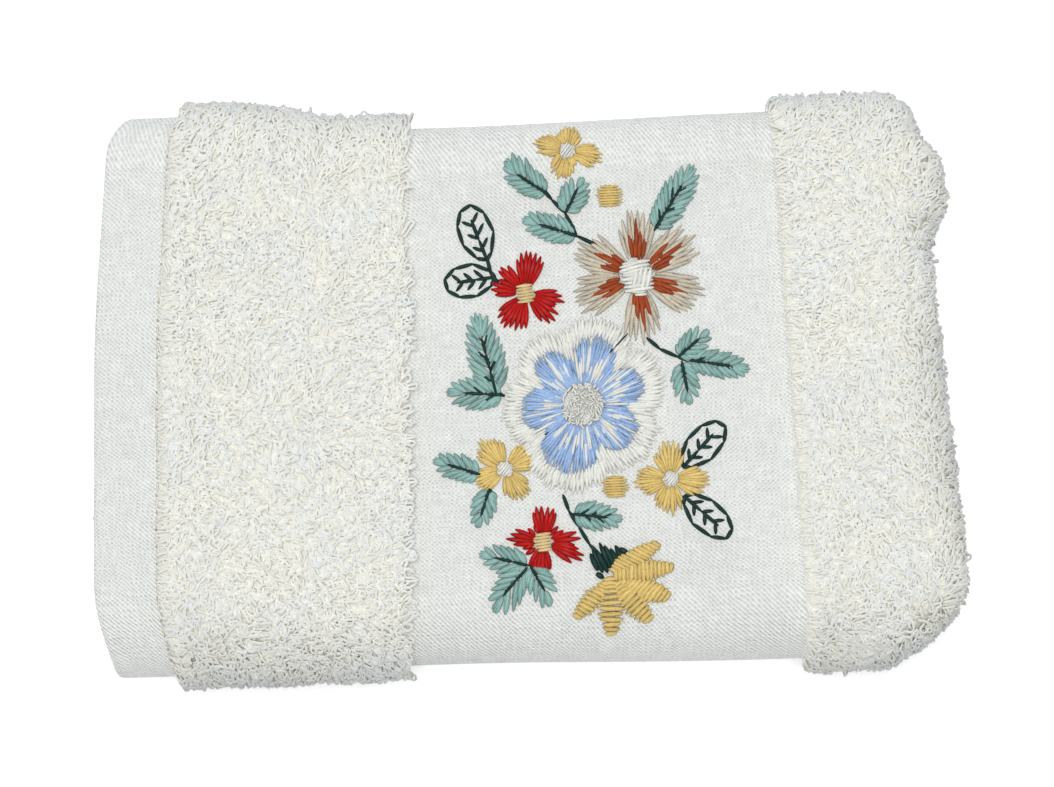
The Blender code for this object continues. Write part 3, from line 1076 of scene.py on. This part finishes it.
def fishbone_leaf(sewing, base_pixel, tip_pixel, half_width, pairs, veins, rng):
    """A leaf of slanting strands, whose ends make a serrated edge, on both sides of a dark rib."""
    base = cloth_place(base_pixel)
    axis = cloth_place(tip_pixel) - base
    ahead = axis.normalized()
    beside = turned(ahead, 90.0)
    for index in range(pairs):
        for side in (-1.0, 1.0):
            share = 0.13 + 0.81 * (index + 0.25 + 0.2 * side) / (pairs - 0.5)
            reach = half_width * math.sin(math.pi * (0.12 + 0.8 * share)) ** 0.6 * rng.uniform(0.98, 1.14)
            slant = math.radians(50.0 - 24.0 * share)
            foot = max(share - reach / math.tan(slant) / axis.length, 0.02)
            start = base + axis * foot
            end = base + axis * share + beside * side * reach
            lay(sewing, "sage", start, end, 1.5 * MM, rng.uniform(0.0, 0.25) * MM, 0.7)
            inner = start.lerp(end, rng.uniform(0.3, 0.55))
            lay(sewing, "fir", start, inner, 0.34 * MM, 0.42 * MM, 0.9)
    for slant in (-11.0, 10.0, 0.0):
        start = base + axis * 0.68
        reach = 0.31 * axis.length * (1.0 if slant else 1.06)
        lay(sewing, "sage", start, start + turned(ahead, slant) * reach, 1.25 * MM, 0.12 * MM, 0.8)
    rib = [base - axis * 0.04, base + axis * 0.3, base + axis * 0.68]
    back_stitches(sewing, "fir", rib, 0.78 * MM, 0.5 * MM)
    for index in range(veins):
        side = 1.0 if index % 2 else -1.0
        start = base + axis * (0.12 + 0.46 * index / max(veins - 1, 1))
        end = start + turned(ahead, side * rng.uniform(32.0, 42.0)) * half_width * 1.05
        lay(sewing, "fir", start, end, 0.78 * MM, 0.5 * MM, 0.9)


def outline_leaf(sewing, base_pixel, tip_pixel, half_width, rng):
    """A leaf drawn in dark back stitches: its edge, its rib and pairs of veins."""
    base = cloth_place(base_pixel)
    axis = cloth_place(tip_pixel) - base
    ahead = axis.normalized()
    beside = turned(ahead, 90.0)
    edge = [base + axis * share + beside * half_width * width for share, width in LEAF_EDGE]
    back_stitches(sewing, "fir", edge, 1.02 * MM)
    rib = [base, base + axis * 0.42, base + axis * 0.8]
    back_stitches(sewing, "fir", rib, 0.95 * MM)
    for share in (0.2, 0.45, 0.7):
        for side in (-1.0, 1.0):
            start = base + axis * (share + 0.03 * side)
            reach = half_width * 0.8 * rng.uniform(0.9, 1.1)
            lay(sewing, "fir", start, start + turned(ahead, side * 46.0) * reach, 0.92 * MM, 0.0, 0.9)


def satin_lobe(sewing, thread, base_pixel, tip_pixel, half_width, slant, rng):
    """A padded tongue of strands laid across it, wide in its middle and round at its tip."""
    base = cloth_place(base_pixel)
    axis = cloth_place(tip_pixel) - base
    ahead = axis.normalized()
    across = turned(ahead, 90.0 + slant)
    count = max(4, round(axis.length / (0.86 * MM)))
    for index in range(count):
        share = (index + 0.5) / count
        swollen = math.sin(math.pi * (0.1 + 0.84 * share))
        half = half_width * (0.3 + 0.72 * swollen) * rng.uniform(0.92, 1.08)
        middle = base + axis * share + across * rng.uniform(-0.15, 0.15) * MM
        tilt = across * half + ahead * rng.uniform(-0.15, 0.15) * MM
        lay(sewing, thread, middle - tilt, middle + tilt, 1.3 * MM, (0.1 + 0.55 * swollen) * MM, 0.85)


def gold_flowers(sewing, rng):
    for pixel, petals in GOLD_FLOWERS:
        for row in petals:
            petal(sewing, GOLD_STYLE, pixel, row, rng)
        pad(sewing, "cream", pixel, 1.8 * MM, 1.2 * MM, 52.0, 4, rng, 0.25 * MM)


def red_flowers(sewing, rng):
    for pixel, petals in RED_FLOWERS:
        for row in petals:
            petal(sewing, RED_STYLE, pixel, row, rng)
        pad(sewing, "straw", pixel, 2.2 * MM, 2.1 * MM, 8.0, 6, rng, 0.45 * MM, 0.4)


def sand_flower(sewing, rng):
    for aim, length, half_spread, strands in SAND_PETALS:
        petal(sewing, SAND_STYLE, SAND_CENTRE, (aim, length, half_spread, strands), rng)
        inner_row = (aim + 2.0, 0.72 * length, 21.0, 7)
        petal(sewing, INNER_SAND_STYLE, SAND_CENTRE, inner_row, rng, 0.15 * MM)
        for offset, share in ((-11.0, 0.56), (-5.0, 0.68), (1.0, 0.82), (6.0, 0.52), (11.0, 0.66)):
            way = aim + offset + rng.uniform(-2.0, 2.0)
            start = beside_pixel(SAND_CENTRE, polar(rng.uniform(3.2, 4.2) * MM, way + 0.3 * offset))
            end = beside_pixel(SAND_CENTRE, polar(length * share * rng.uniform(0.92, 1.06), way))
            lay(sewing, "rust", start, end, 1.16 * MM, 0.5 * MM, 0.8)
    pad(sewing, "cream", SAND_CENTRE, 3.9 * MM, 3.5 * MM, 8.0, 8, rng, 0.7 * MM, 0.35)
    for shift, half_length, half_height, degrees, count, lift in SAND_CENTRE_PADS:
        pixel = Vector(SAND_CENTRE) + Vector(shift)
        pad(sewing, "cream", pixel, half_length, half_height, degrees, count, rng, lift, 0.3)


def lobe_radius(degrees, column, notch):
    """Radius of the lobed flower at an angle, less by notch between one lobe and the next."""
    for row in BLUE_LOBES:
        away = abs((degrees - row[0] + 180.0) % 360.0 - 180.0)
        if away <= row[1] + 0.51:
            return row[column] - notch * min(away / row[1], 1.0) ** 2.4
    return BLUE_LOBES[0][column] - notch


def radial(sewing, thread, centre, way, inner, outer, width, lift):
    """One strand that points away from the centre."""
    lay(sewing, thread, centre + polar(inner, way), centre + polar(outer, way), width, lift, 0.75)


def cream_border(sewing, centre, rng):
    """The lobed cream edge of the blue flower, in two layers of strands of uneven length."""
    for way in range(0, 360, 3):
        blue = lobe_radius(way, 2, BLUE_NOTCH)
        edge = lobe_radius(way, 3, CREAM_NOTCH) * rng.uniform(0.96, 1.03)
        radial(sewing, "cream", centre, way + rng.uniform(-0.8, 0.8), blue - 1.2 * MM, edge,
               1.08 * MM, rng.uniform(0.0, 0.15) * MM)
        radial(sewing, "cream", centre, way + 1.5, blue - 0.6 * MM, edge - rng.uniform(1.0, 3.0) * MM,
               1.0 * MM, rng.uniform(0.2, 0.4) * MM)


def blue_flower(sewing, rng):
    centre = cloth_place(BLUE_CENTRE)
    cream_border(sewing, centre, rng)
    for way in range(0, 360, 3):
        aim = way + rng.uniform(-1.2, 1.2)
        edge = lobe_radius(way, 2, BLUE_NOTCH) * rng.uniform(0.94, 1.06)
        radial(sewing, "sky", centre, aim, rng.uniform(4.4, 8.0) * MM, edge, 0.98 * MM,
               rng.uniform(0.3, 0.5) * MM)
        radial(sewing, "sky", centre, aim + 2.0, 4.3 * MM, rng.uniform(7.0, 12.0) * MM,
               0.85 * MM, 0.4 * MM)
    for aim, half_angle, blue, border in BLUE_LOBES:
        for index in range(13):
            way = aim + half_angle * (-0.75 + 0.125 * index) + rng.uniform(-2.0, 2.0)
            inner = rng.uniform(4.3, 6.5) * MM
            radial(sewing, "cream", centre, way, inner, inner + rng.uniform(3.2, 8.6) * MM,
                   rng.uniform(0.45, 0.8) * MM, rng.uniform(0.55, 0.7) * MM)
        for index in range(6):
            way = aim + half_angle + 1.6 * (index - 2.5) + rng.uniform(-0.8, 0.8)
            inner = rng.uniform(8.5, 11.5) * MM
            outer = lobe_radius(aim + half_angle, 3, CREAM_NOTCH) - 2.5 * MM
            radial(sewing, "cream", centre, way, inner, outer, 0.85 * MM, 0.6 * MM)
    for knot in range(150):
        spot = centre + polar(4.8 * MM * math.sqrt(rng.random()), rng.uniform(0.0, 360.0))
        half = polar(rng.uniform(0.5, 0.95) * MM, rng.uniform(0.0, 360.0))
        lay(sewing, "cream", spot - half, spot + half, 0.55 * MM, rng.uniform(0.4, 1.5) * MM, 0.9)
    for first, last in LOOSE_STITCHES:
        lay(sewing, "fir", cloth_place(first), cloth_place(last), 0.42 * MM, 0.75 * MM, 0.9)


def fan_bud(sewing, rng):
    for base, tip, half_width, slant in BUD_LOBES:
        satin_lobe(sewing, "gold", base, tip, half_width, slant, rng)
    for low, high in CALYX:
        lay(sewing, "fir", cloth_place(low), cloth_place(high), 1.4 * MM,
            rng.uniform(0.1, 0.5) * MM, 0.9)


def embroidery():
    """The spray of flowers and leaves on the flat band, one piece for each thread."""
    rng = random.Random(7)
    sewing = {thread: [] for thread, colour in THREADS}
    for base, tip, half_width, pairs, veins in LEAVES:
        fishbone_leaf(sewing, base, tip, half_width, pairs, veins, rng)
    for base, tip, half_width in OUTLINE_LEAVES:
        outline_leaf(sewing, base, tip, half_width, rng)
    for pixels in STEMS:
        back_stitches(sewing, "fir", [cloth_place(pixel) for pixel in pixels], 1.0 * MM, 0.1 * MM)
    for pixel in BERRIES:
        pad(sewing, "gold", pixel, 3.1 * MM, 2.4 * MM, 2.0, 8, rng, 0.3 * MM, 0.6)
    gold_flowers(sewing, rng)
    red_flowers(sewing, rng)
    sand_flower(sewing, rng)
    blue_flower(sewing, rng)
    fan_bud(sewing, rng)
    shape = unit_stitch()
    pieces = []
    for thread, colour in THREADS:
        name = "embroidery_" + thread
        mesh = joined_copies(name, [sewn(stitch, shape, rng) for stitch in sewing[thread]])
        pieces.append(add_piece(name, mesh, [thread_material(thread, colour)]))
    return pieces


def hem_stitching():
    """The row of stitches that holds the hem, and between them small tan strands that are painted shade
    of the needle holes.
    """
    rng = random.Random(3)
    shape = unit_stitch()
    copies = {row[0]: [] for row in HEM_SEWING}
    across = BACK_TURN + 3.0 * MM
    while across < BOTTOM_START - 3.0 * MM:
        step = HEM_STITCH / cross_density(across)
        start = Vector((HEM_WIDTH + rng.uniform(-0.15, 0.15) * MM, across))
        ahead = Vector((rng.uniform(-0.15, 0.15) * MM, step))
        for name, colour, first, last, width, lift, foot in HEM_SEWING:
            stitch = (start + first * ahead, start + last * ahead, width, lift, foot)
            copies[name].append(sewn(stitch, shape, rng))
        across += step
    pieces = []
    for name, colour in (row[:2] for row in HEM_SEWING):
        mesh = joined_copies(name, copies[name])
        pieces.append(add_piece(name, mesh, [thread_material(name, colour)]))
    return pieces


# ---------------------------------------------------------------- camera, floor and light

FLOOR_WHITE = (0.93, 0.93, 0.93, 1.0)
FLOOR_GLOW = 0.3             # a light table's, so that no hard shadow falls
SKY_COLOUR = (0.86, 0.93, 1.0, 1.0)
SKY_STRENGTH = 0.32
LIGHTS = (
    # name, place, size, power in watts, colour
    ("back light", (-0.3, 0.9, 1.5), 0.9, 3.4, (0.78, 0.89, 1.0)),
    ("top light", (-0.03, 0.08, 1.8), 0.65, 21.0, (1.0, 0.986, 0.955)),
)


def photo_camera():
    """Straight above the towel, with the photo's framing."""
    camera = bpy.data.objects.new("camera", bpy.data.cameras.new("camera"))
    bpy.context.scene.collection.objects.link(camera)
    distance = CAMERA_HEIGHT - OUTLINE_HEIGHT
    camera.data.sensor_width = SENSOR
    camera.data.lens = SENSOR * distance / (PHOTO_WIDTH * PIXEL)
    camera.data.clip_start = 0.05
    camera.location = (CAMERA_X, CAMERA_Y, CAMERA_HEIGHT)
    bpy.context.scene.camera = camera


def pale_floor():
    ground = bmesh.new()
    bmesh.ops.create_grid(ground, x_segments=1, y_segments=1, size=2.5)
    mesh = bpy.data.meshes.new("floor")
    ground.to_mesh(mesh)
    ground.free()
    floor = bpy.data.objects.new("floor", mesh)
    bpy.context.scene.collection.objects.link(floor)
    material = bpy.data.materials.new("pale floor")
    material.use_nodes = True
    shader_of(material).inputs["Base Color"].default_value = FLOOR_WHITE
    shader_of(material).inputs["Roughness"].default_value = 0.9
    shader_of(material).inputs["Emission Color"].default_value = (1.0, 1.0, 1.0, 1.0)
    shader_of(material).inputs["Emission Strength"].default_value = FLOOR_GLOW
    mesh.materials.append(material)


def area_light(name, place, size, power, colour):
    """A square soft light that faces the towel."""
    light = bpy.data.objects.new(name, bpy.data.lights.new(name, "AREA"))
    light.data.size = size
    light.data.energy = power
    light.data.color = colour
    light.location = place
    light.rotation_euler = (-Vector(place)).to_track_quat("-Z", "Y").to_euler()
    bpy.context.scene.collection.objects.link(light)


def studio_light():
    """A soft light straight above, a bluish one from behind, and a little from all round."""
    world = bpy.data.worlds.new("studio")
    world.use_nodes = True
    world.node_tree.nodes["Background"].inputs["Color"].default_value = SKY_COLOUR
    world.node_tree.nodes["Background"].inputs["Strength"].default_value = SKY_STRENGTH
    bpy.context.scene.world = world
    for row in LIGHTS:
        area_light(*row)
    bpy.context.scene.view_settings.view_transform = "Standard"


# ---------------------------------------------------------------- all together

def main():
    photo_camera()
    pale_floor()
    studio_light()
    cloth = towel_cloth()
    trimmings = terry_pile() + embroidery() + hem_stitching()


main()
